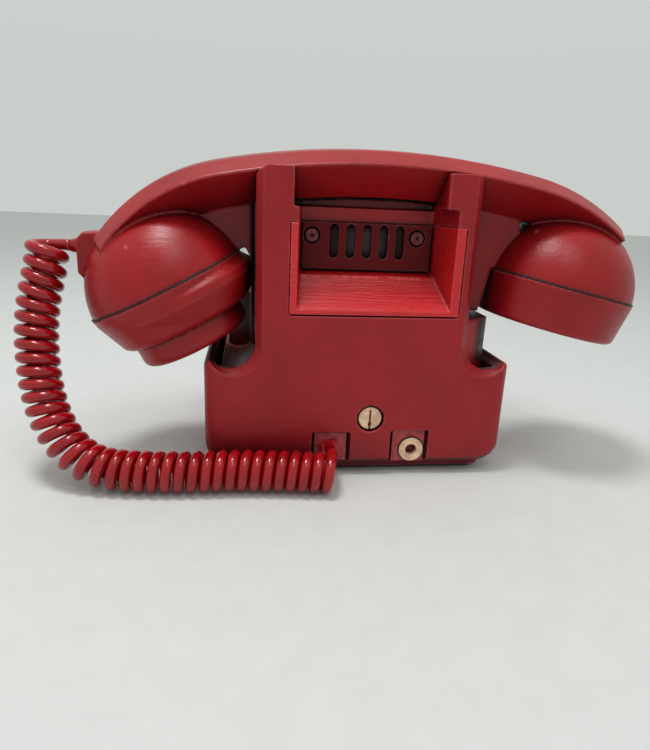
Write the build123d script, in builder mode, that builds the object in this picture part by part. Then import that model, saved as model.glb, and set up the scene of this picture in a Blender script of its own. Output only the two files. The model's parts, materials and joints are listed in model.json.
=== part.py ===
"""Compact cradle telephone: hollow moulded case with a carrying recess in its back, a lift-off handset
on a curly cord, a rotary dial on the sloping front, and the bell, switch and line parts inside.

Frame, in millimetres: +Z up, X across the phone, the dial faces -Y and the carrying recess faces +Y.
The origin is the middle of the case's footprint, on the surface that the phone stands on.
"""

import os
from math import cos, pi, radians, sin, tan

from build123d import *

# ---------------------------------------------------------------- driving dimensions
case_width = 116.0
case_depth = 104.0
case_bottom = 4.5  # underside of the moulded case, above the table
wall = 3.0
prong_top = 113.0
notch_floor = 98.0  # top of the case in front of the cradle
saddle_top = 105.0  # the cradle between the prongs, under the handle
saddle_back = 33.0
ledge_top = 100.0  # the step behind the saddle, over the carrying recess
cavity_top = 93.0
column_half = 39.5  # half width of the upright column behind the handset
prong_inner = 26.7  # half width of the gap between the prongs
column_front = 41.0  # and in front of the handset's necks, up to fin_back
fin_back = 22.0
shoulder = 45.0
hip_half = 50.5  # half width of the case in front of the shoulders' hollows
hips = ((1, 1.0, 64.0), (-1, 41.0, 61.6))  # side, where the hip starts along Y, and its top
dial_height = 56.0  # centre of the dial
dial_lean = 54.0  # slope of the front face, degrees from the horizontal
dial_radius = 36.0

handset_x = -5.0  # the handset lies a little towards its receiver end
handset_y = 32.0
handle_top = 120.8
handle_arc = 290.0  # radius of the handle's long curve
cup_radius = 30.0
receiver_at = (-81.0, 73.4, -12.5)  # seam's centre in X and Z, and the cup's lean in degrees
transmitter_at = (72.1, 70.1, 27.0)
cord_diameter = 4.0
coil_diameter = 15.0

rear_y = case_depth / 2
front_y = -rear_y
PARTS = {}


def keep(name, part):
    """Labels a finished piece and remembers it for the export."""
    part.label = name
    PARTS[name] = part


def box_between(low, high, mode=Mode.ADD):
    """A box from its lowest corner to its highest."""
    size = [b - a for a, b in zip(low, high)]
    with Locations([tuple((a + b) / 2 for a, b in zip(low, high))]):
        Box(*size, mode=mode)


def rod_between(start, end, radius, mode=Mode.ADD):
    """A round rod from one point to another."""
    path = Vector(*end) - Vector(*start)
    with Locations(Plane(origin=start, z_dir=path)):
        Cylinder(radius, path.length, align=(Align.CENTER, Align.CENTER, Align.MIN), mode=mode)


# ---------------------------------------------------------------- the front face and its dial frame
lean = radians(dial_lean)
toe_height = 12.0  # where the sloping front face starts
dial_out = Vector(0, -sin(lean), cos(lean))
dial_centre = Vector(0, front_y + (dial_height - toe_height) / tan(lean), dial_height)


def dial_plane(height=0.0):
    """The dial's plane at a height above the front face, with its x along +X."""
    return Plane(origin=dial_centre + dial_out * height, x_dir=(1, 0, 0), z_dir=dial_out)


def slope_y(z, inset=0.0):
    """Y of the front face at a height, or of a face parallel to it inside the case."""
    return front_y + (z - toe_height) / tan(lean) + inset / sin(lean)


# ---------------------------------------------------------------- the handle's shape, used by the cradle too
handle_section = ((5.0, 104.0), (18.0, 114.8), (10.0, 119.6), (0.0, handle_top))  # half width, height
arc_half = 11.7  # degrees that the long curve runs to each side of its middle
end_arcs = ((1, 68.0, 44.0), (-1, 84.0, 28.0))  # side, radius and sweep of the tighter curve over each cup
arc_centre_z = handle_top - handle_arc


def arc_sketch_plane(centre_x, centre_z, angle):
    """A plane through an arc's axis, with x across the handle and y outwards along the radius."""
    turn = radians(angle)
    return Plane(origin=(centre_x, handset_y, centre_z), x_dir=(0, 1, 0), z_dir=(cos(turn), 0, -sin(turn)))


def both_sides(half):
    """A closed outline from its right half, given from the bottom to the top."""
    return half + [(-w, z) for w, z in reversed(half) if w > 0]


def handle_outline(radius):
    """The handle's cross-section, measured from the centre of an arc of the given radius."""
    return both_sides([(w, z - handle_top + radius) for w, z in handle_section])


def notch_outline():
    """The cradle's V, a little wider than the handle and open upwards."""
    low, high = handle_section[0], handle_section[1]
    rise = (high[0] - low[0]) / (high[1] - low[1])
    gap = 0.6
    half = [
        (low[0] + gap, low[1] - gap),
        (low[0] + gap, low[1]),
        (high[0] + gap + rise * 8.0, high[1] + 8.0),
    ]
    return both_sides([(w, z - handle_top + handle_arc) for w, z in half])


def swept_handle():
    """The handle as one long arc with a tighter arc over each cup."""
    with BuildPart() as handle:
        with BuildSketch(arc_sketch_plane(handset_x, arc_centre_z, -arc_half)):
            Polygon(*handle_outline(handle_arc), align=None)
        revolve(axis=Axis((handset_x, handset_y, arc_centre_z), (0, 1, 0)), revolution_arc=2 * arc_half)
        for side, end_arc, end_sweep in end_arcs:
            turn = radians(arc_half)
            centre_x = handset_x + side * (handle_arc - end_arc) * sin(turn)
            centre_z = arc_centre_z + (handle_arc - end_arc) * cos(turn)
            with BuildSketch(arc_sketch_plane(centre_x, centre_z, side * arc_half)):
                Polygon(*handle_outline(end_arc), align=None)
            revolve(axis=Axis((centre_x, handset_y, centre_z), (0, side, 0)), revolution_arc=end_sweep)
    return handle.part


# ---------------------------------------------------------------- case
tray_floor = 6.5  # top of the base plate
recess_low, recess_high = (-34.6, 62.8), (27.6, 95.0)  # corners of the recess liner in X and Z
pocket_left, pocket_right = -26.6, 23.0  # the liner's side walls at the back of the pocket
mouth_left, mouth_right = -31.2, 25.0  # and at its mouth
pocket_back = 36.0
liner_wall = 2.4
lock_x, lock_z = -4.3, 23.4
lock_radius = 5.2
cord_socket = (10.6, 11.7, 14.6, 12.4)  # centre X and Z, width, height
line_socket = (-20.15, 11.75, 14.9, 13.5)
jack_x, jack_z = -21.3, 10.4
grommet_x, grommet_z = 10.6, 10.5
plunger_x, plunger_y, plunger_radius = 33.0, 30.0, 2.2
boss_at = [(x, y) for x in (-46.0, 46.0) for y in (-32.0, 41.0)]
boss_top = 24.0
boss_radius = 4.5
screw_radius = 1.5
dial_opening = 32.0
slot_x, slot_pitch = -1.6, 6.2
vent_screw_x, vent_screw_z = (-20.5, 19.0), 90.0
vent_screw_radius = 1.25
vent_thickness = 1.6
pad_height = 1.2
plug_radius = 4.35
jack_radius = 2.25
jack_depth = 14.0
dial_depth = 14.0
shaft_radius = 2.5
wheel_radius = 32.6
hole_circle = 24.8
finger_hole = 5.2
first_hole, hole_step = 60.0, 27.0  # degrees round the dial from +X
stop_angle = -33.0
gear_radius, pinion_radius = 15.0, 3.0
governor_at = (12.8, -12.8)
lever_top = 78.0
lever_pivot_y, lever_pivot_z = 18.0, 76.5
ringer_y = 8.0
gong_x, gong_y = 25.6, ringer_y - 4.0
clapper_y = ringer_y + 15.5
coil_z = 18.0
dome_height = 27.7
neck_start = 41.0  # the necks clear the column as the handset lifts
lug_from, lug_y, lug_z = 84.0, (25.0, 38.0), (71.0, 88.4)
cord_exit_x, cord_exit_z = 102.0, 83.0
sleeve_radius, sleeve_tip = 3.0, 3.0
coil_route = [
    (113.2, 34.2, 78.0),
    (114.9, 35.8, 70.5),
    (116.5, 37.6, 62.5),
    (117.1, 40.2, 53.5),
    (116.6, 43.2, 43.5),
    (115.1, 46.5, 33.1),
    (112.0, 50.0, 23.8),
    (107.0, 53.5, 16.0),
    (100.4, 56.8, 10.6),
    (92.0, 59.3, 7.9),
    (80.0, 61.0, 7.55),
    (65.0, 61.9, 7.55),
    (48.0, 61.4, 7.55),
    (32.0, 62.4, 7.55),
    (16.0, 64.4, 7.55),
]
handset_tail = [(105.0, 32.0, 83.0), (108.4, 32.0, 83.0), (112.0, 33.05, 83.4), coil_route[0]]
base_tail = [coil_route[-1], (11.2, 65.0, 7.55), (10.6, 59.5, 10.5), (10.6, 52.4, 10.5)]


def plunger_top(x):
    """Height at which the handle's underside meets a plunger."""
    reach = handle_arc - (handle_top - handle_section[0][1])
    return arc_centre_z + (reach**2 - (abs(x - handset_x) + plunger_radius) ** 2) ** 0.5 - 0.05


def case_face(y, inset=0.0, scoop=0.0, low=case_bottom, top=prong_top):
    """The case's outline on a plane across the phone, at a place along Y."""
    half, column, crest = case_width / 2 - inset, column_half - inset, shoulder - inset
    corner = 10.0 - inset
    with BuildSketch(Plane.XZ.offset(-y)) as face:
        with BuildLine():
            for side in (-1, 1):
                Line((0, low), (side * (half - corner), low))
                RadiusArc((side * (half - corner), low), (side * half, low + corner), -side * corner)
                Line((side * half, low + corner), (side * half, crest - 1.5))
                Line((side * half, crest - 1.5), (side * (half - 1.6), crest + 0.6))
                ThreePointArc(
                    (side * (half - 1.6), crest + 0.6),
                    (side * (half - 9.0), crest - 2.4 - scoop),
                    (side * column, crest + 6.0),
                )
                Line((side * column, crest + 6.0), (side * column, top))
            Line((-column, top), (column, top))
        make_face()
    return face.sketch


def case_solid(inset=0.0, low=case_bottom, top=prong_top):
    """The case's outer form, or its hollow when inset by the wall."""
    rim = 2.5  # the rear edge's chamfer
    deep = 14.0  # from the rear face to where the shoulder's hollow reaches its full shape
    scoop = 3.5  # how much lower the shoulder's hollow is than its rear lip
    with BuildPart() as solid:
        rear = rear_y - inset
        if inset == 0:
            back_face = case_face(rear, rim, 0.0, low + rim, top)
            rim_face = case_face(rear - rim, 0.0, 0.0, low, top)
            full_face = case_face(rear - deep, 0.0, scoop, low, top)
            loft([back_face, rim_face], ruled=True)
            loft([rim_face, full_face], ruled=True)
            extrude(full_face, amount=case_depth)
        else:
            extrude(case_face(rear, inset, scoop, low, top), amount=case_depth)
        if inset == 0:
            for side in (-1, 1):
                near_x, far_x = sorted((side * (column_half - wall), side * column_front))
                box_between((near_x, front_y, shoulder), (far_x, fin_back, prong_top))
            sunk = 8.0  # the hips start inside the shoulders
            for side, start, hip_top in hips:
                with BuildSketch(Plane.XY.offset(shoulder - sunk)):
                    Polygon(
                        (side * (column_half - 2.0), start + 10.0),
                        (side * (hip_half - 3.0), start + 2.4),
                        (side * hip_half, start - 1.0),
                        (side * hip_half, front_y),
                        (side * (column_half - 2.0), front_y),
                        align=None,
                    )
                extrude(amount=hip_top - shoulder + sunk)
        with BuildSketch(Plane.YZ):
            Polygon(
                (rear, low),
                (rear, top),
                (slope_y(top, inset), top),
                (slope_y(toe_height, inset), toe_height),
                (front_y + inset, toe_height - inset / 2),
                (front_y + inset, low),
                align=None,
            )
        extrude(amount=case_width, both=True, mode=Mode.INTERSECT)
        with BuildSketch():
            RectangleRounded(case_width - 2 * inset, case_depth - 2 * inset, 5.5 - inset / 2)
        extrude(amount=prong_top, mode=Mode.INTERSECT)
    return solid.part


def pocket_form(low_z, high_z):
    """A block as wide as the carrying recess, which narrows from its mouth to its back."""
    depth = rear_y - pocket_back
    with BuildPart() as form:
        with BuildSketch(Plane.XY.offset(low_z)):
            Polygon(
                (pocket_left, pocket_back),
                (pocket_right, pocket_back),
                (mouth_right, rear_y),
                (mouth_right, rear_y + depth),
                (mouth_left, rear_y + depth),
                (mouth_left, rear_y),
                align=None,
            )
        extrude(amount=high_z - low_z)
    return form.part


def make_body_shell():
    """The moulded case: block, upright column with its two prongs and saddle, and the openings in them."""
    front_prong = handset_y - (rear_y - handset_y)
    over = prong_top + 1
    with BuildPart() as body_shell:
        add(case_solid())
        box_between((-60, front_y - 1, notch_floor), (60, front_prong, over), Mode.SUBTRACT)
        box_between((-prong_inner, front_prong - 1, saddle_top), (prong_inner, rear_y, over), Mode.SUBTRACT)
        box_between((-prong_inner, saddle_back, ledge_top), (prong_inner, rear_y + 1, over), Mode.SUBTRACT)
        with BuildSketch(arc_sketch_plane(handset_x, arc_centre_z, -arc_half)):
            Polygon(*notch_outline(), align=None)
        revolve(
            axis=Axis((handset_x, handset_y, arc_centre_z), (0, 1, 0)),
            revolution_arc=2 * arc_half,
            mode=Mode.SUBTRACT,
        )
        add(case_solid(wall, low=case_bottom - 1.0, top=cavity_top), mode=Mode.SUBTRACT)
        box_between(
            (recess_low[0], pocket_back - liner_wall - 1, recess_low[1]),
            (recess_high[0], rear_y + 1, recess_high[1]),
            Mode.SUBTRACT,
        )
        add(pocket_form(recess_high[1] - 1, ledge_top + 1), mode=Mode.SUBTRACT)
        for x, z, width, height in (cord_socket, line_socket):
            low, high = (x - width / 2, 45, z - height / 2), (x + width / 2, 60, z + height / 2)
            box_between(low, high, Mode.SUBTRACT)
        rod_between((lock_x, 45, lock_z), (lock_x, 60, lock_z), lock_radius, Mode.SUBTRACT)
        for side in (-1, 1):
            x, hole = side * plunger_x, plunger_radius + 0.15
            rod_between((x, plunger_y, 90), (x, plunger_y, 106), hole, Mode.SUBTRACT)
        with Locations(dial_plane(1)):
            Cylinder(dial_opening, 12, align=(Align.CENTER, Align.CENTER, Align.MAX), mode=Mode.SUBTRACT)
        for x, y in boss_at:
            rod_between((x, y, tray_floor), (x, y, boss_top), boss_radius)
            low_x, high_x = sorted((x, (case_width - wall) / 2 * (1 if x > 0 else -1)))
            box_between((low_x, y - 1.2, tray_floor + 4), (high_x, y + 1.2, boss_top))
        rod_between((lock_x, 45, lock_z), (lock_x, 49.5, lock_z), lock_radius + 1.4)
        rod_between((lock_x, 44, lock_z), (lock_x, 60, lock_z), lock_radius, Mode.SUBTRACT)
        for x, y in boss_at:
            rod_between((x, y, tray_floor - 1), (x, y, 20), screw_radius, Mode.SUBTRACT)
    keep("body_shell", body_shell.part)


def ramp_form():
    """The hollow of the recess liner: its floor ramps up from the mouth to the slotted plate."""
    with BuildPart() as form:
        with BuildSketch(Plane.YZ.offset(recess_low[0])):
            Polygon(
                (rear_y + 1, recess_low[1] + 0.9),
                (rear_y - 1, 66),
                (rear_y - 8, 72),
                (rear_y - 12, 76),
                (pocket_back, 77.4),
                (pocket_back, prong_top),
                (rear_y + 1, prong_top),
                align=None,
            )
        extrude(amount=recess_high[0] - recess_low[0])
        add(pocket_form(recess_low[1] - 1, prong_top + 1), mode=Mode.INTERSECT)
    return form.part


def make_recess():
    """The liner of the carrying recess, its slotted plate, and the plate's two screws."""
    with BuildPart() as carry_recess:
        box_between(
            (recess_low[0], pocket_back - liner_wall, recess_low[1] + 0.4),
            (recess_high[0], rear_y, recess_high[1]),
        )
        add(ramp_form(), mode=Mode.SUBTRACT)
        for x in vent_screw_x:
            rod_between((x, 30, vent_screw_z), (x, 40, vent_screw_z), vent_screw_radius, Mode.SUBTRACT)
    keep("carry_recess", carry_recess.part)

    face = pocket_back + vent_thickness
    with BuildPart() as vent_plate:
        box_between((pocket_left + 0.5, pocket_back, 77.8), (pocket_right - 0.5, face, 94.8))
        for step in range(-2, 3):
            with BuildSketch(Plane.XZ.offset(-face - 1)):
                with Locations((slot_x + step * slot_pitch, 88.2)):
                    SlotOverall(12.2, 3.2, rotation=90)
            extrude(amount=4, mode=Mode.SUBTRACT)
        for x in vent_screw_x:
            rod_between((x, 30, vent_screw_z), (x, 40, vent_screw_z), vent_screw_radius, Mode.SUBTRACT)
            rod_between((x, face - 0.8, vent_screw_z), (x, 40, vent_screw_z), 3.1, Mode.SUBTRACT)
    keep("vent_plate", vent_plate.part)

    with BuildPart() as vent_screws:
        for x in vent_screw_x:
            rod_between((x, 34, vent_screw_z), (x, face - 0.8, vent_screw_z), vent_screw_radius)
            rod_between((x, face - 0.8, vent_screw_z), (x, face + 0.5, vent_screw_z), 2.3)
            rod_between((x, face, vent_screw_z), (x, face + 1, vent_screw_z), 0.7, Mode.SUBTRACT)
    keep("vent_screws", vent_screws.part)


def make_base():
    """The plinth that closes the case from below, its pad, and the four screws that hold them."""
    plinth = 10.0  # the plinth is this much narrower than the case
    flange_width = 99.6  # the raised flange drops between the case's rounded lower edges
    with BuildPart() as base_plate:
        with BuildSketch(Plane.XY.offset(pad_height)):
            RectangleRounded(case_width - plinth, case_depth - plinth, 6)
        extrude(amount=case_bottom - pad_height)
        with BuildSketch(Plane.XY.offset(case_bottom)):
            RectangleRounded(flange_width, case_depth - 2 * wall - 0.6, 4)
        extrude(amount=tray_floor - case_bottom)
        for x, y in boss_at:
            rod_between((x, y, 0), (x, y, 10), 1.7, Mode.SUBTRACT)
            rod_between((x, y, 0), (x, y, 3.7), 3.4, Mode.SUBTRACT)
    keep("base_plate", base_plate.part)

    with BuildPart() as base_pad:
        with BuildSketch():
            RectangleRounded(case_width - plinth - 4, case_depth - plinth - 4, 5)
        extrude(amount=pad_height)
        for x, y in boss_at:
            rod_between((x, y, -1), (x, y, 5), 3.8, Mode.SUBTRACT)
    keep("base_pad", base_pad.part)

    with BuildPart() as base_screws:
        for x, y in boss_at:
            rod_between((x, y, 1.7), (x, y, 3.7), 3.1)
            rod_between((x, y, 3.7), (x, y, 16), 1.5)
            box_between((x - 4, y - 0.5, 1), (x + 4, y + 0.5, 2.5), Mode.SUBTRACT)
    keep("base_screws", base_screws.part)


def make_lock():
    """The cam lock in the middle of the back: a fixed barrel, and a plug that turns with its cam."""
    with BuildPart() as lock_barrel:
        rod_between((lock_x, 40, lock_z), (lock_x, rear_y - 2.6, lock_z), lock_radius)
        rod_between((lock_x, 30, lock_z), (lock_x, 60, lock_z), plug_radius + 0.05, Mode.SUBTRACT)
    keep("lock_barrel", lock_barrel.part)
    with BuildPart() as lock_plug:
        rod_between((lock_x, 36, lock_z), (lock_x, rear_y - 0.9, lock_z), plug_radius)
        box_between((lock_x - 3.4, 36, lock_z - 3.4), (lock_x + 3.4, 39.5, lock_z + 14))
        box_between((lock_x - 0.4, 46, lock_z - 4.6), (lock_x + 0.4, 60, lock_z + 3.2), Mode.SUBTRACT)
        box_between((lock_x - 0.7, 46, lock_z - 3.2), (lock_x + 0.7, 60, lock_z - 1.6), Mode.SUBTRACT)
    keep("lock_plug", lock_plug.part)


def make_sockets():
    """The two square sockets low in the back: one grips the handset's cord, one takes the line plug."""
    plate_face = rear_y - 1.4
    inside = rear_y - wall
    for name, (x, z, width, height), hole in (
        ("cord_socket_plate", cord_socket, (grommet_x, grommet_z, 3.4)),
        ("line_socket_plate", line_socket, (jack_x, jack_z, 3.9)),
    ):
        left, right, top, low = x - width / 2, x + width / 2, z + height / 2, z - height / 2
        with BuildPart() as plate:
            box_between((left - 1.6, inside - 2, tray_floor), (right + 1.6, inside, top + 1.5))
            box_between((left + 1.1, inside - 2, low + 0.5), (right - 1.1, plate_face, top - 0.5))
            box_between((x - 12, inside - 3, z - 12), (x + 12, inside - 0.2, tray_floor), Mode.SUBTRACT)
            rod_between((hole[0], 40, hole[1]), (hole[0], 60, hole[1]), hole[2], Mode.SUBTRACT)
        keep(name, plate.part)
    with BuildPart() as cord_grommet:
        rod_between((grommet_x, 44, grommet_z), (grommet_x, plate_face, grommet_z), 3.4)
        rod_between((grommet_x, plate_face, grommet_z), (grommet_x, rear_y + 0.4, grommet_z), 4.3)
    keep("cord_grommet", cord_grommet.part)
    with BuildPart() as line_jack:
        rod_between((jack_x, 34, jack_z), (jack_x, plate_face, jack_z), 3.9)
        rod_between((jack_x, plate_face, jack_z), (jack_x, plate_face + 0.9, jack_z), 4.75)
        bore_end = (jack_x, plate_face + 0.9 - jack_depth, jack_z)
        rod_between(bore_end, (jack_x, 60, jack_z), jack_radius, Mode.SUBTRACT)
    keep("line_jack", line_jack.part)
    with BuildPart() as jack_contacts:
        box_between((jack_x - 4, 22, tray_floor), (jack_x + 4, 34, tray_floor + 7))
        for x in (-2.2, 2.2):
            box_between((jack_x + x - 1, 15, tray_floor + 4), (jack_x + x + 1, 22, tray_floor + 4.6))
    keep("jack_contacts", jack_contacts.part)


# ---------------------------------------------------------------- dial
def disc(low, high, radius, mode=Mode.ADD, at=(0, 0)):
    """A round disc square to the dial's axis, between two heights above the front face."""
    with BuildSketch(dial_plane(low), mode=Mode.PRIVATE) as outline:
        with Locations(at):
            Circle(radius)
    extrude(outline.sketch, amount=high - low, mode=mode)


def make_dial():
    """The dial: its case, number plate, finger wheel and stop, and the gear, spring and governor behind."""
    with BuildPart() as dial_case:
        disc(0, 2.0, dial_radius)
        disc(-dial_depth, 0, dial_opening - 0.3)
        disc(-dial_depth + 1.5, 3, dial_opening - 2, Mode.SUBTRACT)
        disc(-dial_depth, -dial_depth + 4, 6)
        disc(-dial_depth - 1, 4, shaft_radius + 0.05, Mode.SUBTRACT)
        disc(-dial_depth, -dial_depth + 4, 3, at=governor_at)
        disc(-dial_depth - 1, 4, 1.05, Mode.SUBTRACT, at=governor_at)
    keep("dial_case", dial_case.part)

    with BuildPart() as number_plate:
        disc(2.0, 3.0, dial_radius - 0.8)
        disc(1.0, 4.0, 6, Mode.SUBTRACT)
    keep("number_plate", number_plate.part)

    with BuildPart() as finger_wheel:
        disc(4.2, 6.0, wheel_radius)
        for step in range(10):
            turn = radians(first_hole + step * hole_step)
            at = (hole_circle * cos(turn), hole_circle * sin(turn))
            disc(4, 7, finger_hole, Mode.SUBTRACT, at=at)
        disc(3, 7, shaft_radius, Mode.SUBTRACT)
    keep("finger_wheel", finger_wheel.part)

    with BuildPart() as dial_cap:
        disc(6.0, 7.6, 12)
    keep("dial_cap", dial_cap.part)

    with BuildPart() as dial_shaft:
        disc(-dial_depth - 3, 6.0, shaft_radius)
    keep("dial_shaft", dial_shaft.part)

    with BuildPart() as main_gear:
        disc(-8.5, -7, gear_radius)
        disc(-9, -6, shaft_radius, Mode.SUBTRACT)
    keep("main_gear", main_gear.part)

    with BuildPart() as dial_spring:
        disc(-6, -1, 9)
        disc(-7, 0, 4, Mode.SUBTRACT)
    keep("dial_spring", dial_spring.part)

    with BuildPart() as governor:
        disc(-dial_depth - 1, -6.5, 1.0, at=governor_at)
        disc(-8.6, -6.9, pinion_radius, at=governor_at)
        disc(-6.5, -2.5, 6, at=governor_at)
    keep("governor", governor.part)

    with BuildPart() as pulse_contacts:
        for height in (-9.0, -6.5, -4.0):
            with BuildSketch(dial_plane(height)):
                with Locations((-20, 0)):
                    Rectangle(5, 24)
            extrude(amount=1.6 if height < -8 else 0.5)
        with BuildSketch(dial_plane(-dial_depth + 1.5)):
            with Locations((-21.5, 9)):
                Rectangle(8, 6)
        extrude(amount=dial_depth - 5)
    keep("pulse_contacts", pulse_contacts.part)

    with BuildPart() as finger_stop:
        stop = dial_plane(0)
        turn = radians(stop_angle)
        with BuildSketch(dial_plane(3.0)):
            with Locations(((dial_radius - 1.6) * cos(turn), (dial_radius - 1.6) * sin(turn))):
                Circle(1.3)
        extrude(amount=4.6)
        with BuildSketch(dial_plane(6.6)):
            with Locations((28 * cos(turn), 28 * sin(turn))):
                SlotOverall(16, 2.6, rotation=stop_angle)
        extrude(amount=1.0)
    keep("finger_stop", finger_stop.part)


# ---------------------------------------------------------------- hook switch
def make_switch():
    """The hook switch: two plungers under the handle, and the lever, pin, bracket and springs they work."""
    with BuildPart() as hook_plungers:
        for side in (-1, 1):
            x = side * plunger_x
            top = plunger_top(x)
            rod_between((x, plunger_y, lever_top + 0.1), (x, plunger_y, top), plunger_radius)
            rod_between((x, plunger_y, 84), (x, plunger_y, 86.5), 3.1)
    keep("hook_plungers", hook_plungers.part)

    bore = ((-20, lever_pivot_y, lever_pivot_z), (20, lever_pivot_y, lever_pivot_z))
    half, low = plunger_x + 2.5, lever_top - 2.5
    with BuildPart() as hook_lever:
        box_between((-half, plunger_y - 1.5, low), (half, plunger_y + 1.5, lever_top))
        for x in (-8, 8):
            box_between((x - 2, lever_pivot_y - 3, lever_top - 2.5), (x + 2, plunger_y, lever_top))
            rod_between((x - 2, lever_pivot_y, lever_pivot_z), (x + 2, lever_pivot_y, lever_pivot_z), 3)
        rod_between(*bore, 1.55, Mode.SUBTRACT)
    keep("hook_lever", hook_lever.part)

    with BuildPart() as hook_pin:
        rod_between((-14.5, lever_pivot_y, lever_pivot_z), (14.5, lever_pivot_y, lever_pivot_z), 1.5)
    keep("hook_pin", hook_pin.part)

    with BuildPart() as hook_bracket:
        for x in (-13, 13):
            box_between((x - 1, lever_pivot_y - 4, lever_pivot_z - 3), (x + 1, lever_pivot_y + 4, cavity_top))
        box_between((-14, lever_pivot_y - 4, cavity_top - 1.5), (14, lever_pivot_y + 12, cavity_top))
        rod_between(*bore, 1.5, Mode.SUBTRACT)
    keep("hook_bracket", hook_bracket.part)

    with BuildPart() as switch_springs:
        for low in (lever_top + 5.0, lever_top + 7.5):
            box_between((-3, lever_pivot_y - 1, low), (3, plunger_y + 1, low + 0.5))
        box_between((-4, lever_pivot_y + 1, lever_top + 4.4), (4, lever_pivot_y + 7, cavity_top - 1.5))
    keep("switch_springs", switch_springs.part)


# ---------------------------------------------------------------- ringer and line parts
def make_ringer():
    """The bell: a frame, two coils on their cores, two gongs, and the clapper between them."""
    with BuildPart() as ringer_frame:
        box_between((-30, ringer_y - 18, tray_floor), (30, ringer_y + 2, tray_floor + 1.6))
        box_between((-16, ringer_y - 18, tray_floor), (16, ringer_y + 20, tray_floor + 1.6))
        for x in (-gong_x, gong_x):
            rod_between((x, gong_y, tray_floor), (x, gong_y, 36), 2.5)
        box_between((-16, ringer_y - 16, tray_floor), (16, ringer_y - 14, 26))
    keep("ringer_frame", ringer_frame.part)

    with BuildPart() as bell_cores:
        for x in (-9, 9):
            rod_between((x, ringer_y - 14, coil_z), (x, ringer_y + 12, coil_z), 2.5)
    keep("bell_cores", bell_cores.part)

    with BuildPart() as bell_coils:
        for x in (-9, 9):
            rod_between((x, ringer_y - 13.5, coil_z), (x, ringer_y + 10.5, coil_z), 7.5)
            rod_between((x, ringer_y - 14, coil_z), (x, ringer_y + 12, coil_z), 2.5, Mode.SUBTRACT)
    keep("bell_coils", bell_coils.part)

    for name, x in (("gong_left", gong_x), ("gong_right", -gong_x)):
        with BuildPart() as gong:
            with BuildSketch(Plane.XZ.offset(-gong_y)):
                with BuildLine():
                    inner = [(x + 18.6, 28.0), (x + 17.2, 34.0), (x + 10.0, 36.0), (x + 2.5, 36.0)]
                    outer = [(x + 2.5, 37.2), (x + 10.6, 37.2), (x + 18.5, 35.0), (x + 20.0, 28.0)]
                    Polyline(*inner, *outer, close=True)
                make_face()
            revolve(axis=Axis((x, gong_y, 0), (0, 0, 1)))
        keep(name, gong.part)
    with BuildPart() as gong_screws:
        for x in (-gong_x, gong_x):
            rod_between((x, gong_y, 37.2), (x, gong_y, 39.4), 3.5)
            rod_between((x, gong_y, 36), (x, gong_y, 37.2), 2.5)
    keep("gong_screws", gong_screws.part)

    with BuildPart() as clapper:
        box_between((-14, clapper_y - 2, coil_z - 4), (14, clapper_y + 2, coil_z + 4))
        box_between((-1.2, clapper_y + 1, coil_z), (1.2, clapper_y + 5, 33.2))
        box_between((-1.2, gong_y + 2, 31), (1.2, clapper_y + 5, 33.2))
        with Locations((0, gong_y, 32.1)):
            Sphere(3)
        rod_between((0, clapper_y, 5), (0, clapper_y, 30), 1.55, Mode.SUBTRACT)
    keep("clapper", clapper.part)
    with BuildPart() as clapper_pin:
        rod_between((0, clapper_y, tray_floor + 1.6), (0, clapper_y, coil_z + 6), 1.5)
        rod_between((0, clapper_y, tray_floor + 1.6), (0, clapper_y, coil_z - 4.3), 3)
    keep("clapper_pin", clapper_pin.part)


def make_line_parts():
    """The induction coil, the capacitor and the terminal block with its screws."""
    with BuildPart() as induction_coil:
        box_between((-50, -20, tray_floor), (-33, 2, tray_floor + 16))
        box_between((-48.5, -14, tray_floor - 1), (-34.5, -4, tray_floor + 3), Mode.SUBTRACT)
    keep("induction_coil", induction_coil.part)
    with BuildPart() as capacitor:
        rod_between((42, -16, tray_floor + 8.5), (42, 14, tray_floor + 8.5), 8.5)
    keep("capacitor", capacitor.part)
    with BuildPart() as terminal_block:
        box_between((-49, 8, tray_floor), (-33, 30, tray_floor + 7))
        with Locations(*[Location((x, y, tray_floor + 7)) for x in (-45, -37) for y in (12, 19, 26)]):
            Hole(1.2, depth=5)
    keep("terminal_block", terminal_block.part)
    with BuildPart() as terminal_screws:
        for x in (-45, -37):
            for y in (12, 19, 26):
                rod_between((x, y, tray_floor + 3), (x, y, tray_floor + 7), 1.2)
                rod_between((x, y, tray_floor + 7), (x, y, tray_floor + 8.5), 2.4)
    keep("terminal_screws", terminal_screws.part)


# ---------------------------------------------------------------- handset
def cup_plane(at):
    """The plane of a cup's seam, with z along the cup's dome."""
    x, z, tilt = at
    turn = radians(tilt)
    return Plane(origin=(x, handset_y, z), x_dir=(cos(turn), 0, -sin(turn)), z_dir=(sin(turn), 0, cos(turn)))


def cup_form(at, profile, mode=Mode.ADD, soft=()):
    """A round form about a cup's axis, from its half profile of radius and height above the seam.

    Each item of soft is a corner's index in the profile and the radius that rounds it.
    """
    plane = cup_plane(at)
    section = Plane(origin=plane.origin, x_dir=plane.x_dir, z_dir=-plane.y_dir)
    with BuildSketch(section, mode=Mode.PRIVATE) as outline:
        Polygon(*profile, align=None)
        for index, radius in soft:
            fillet(outline.vertices().sort_by_distance(Vector(*profile[index]))[0], radius)
    revolve(outline.sketch, axis=Axis(plane.origin, plane.z_dir), mode=mode)


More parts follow.
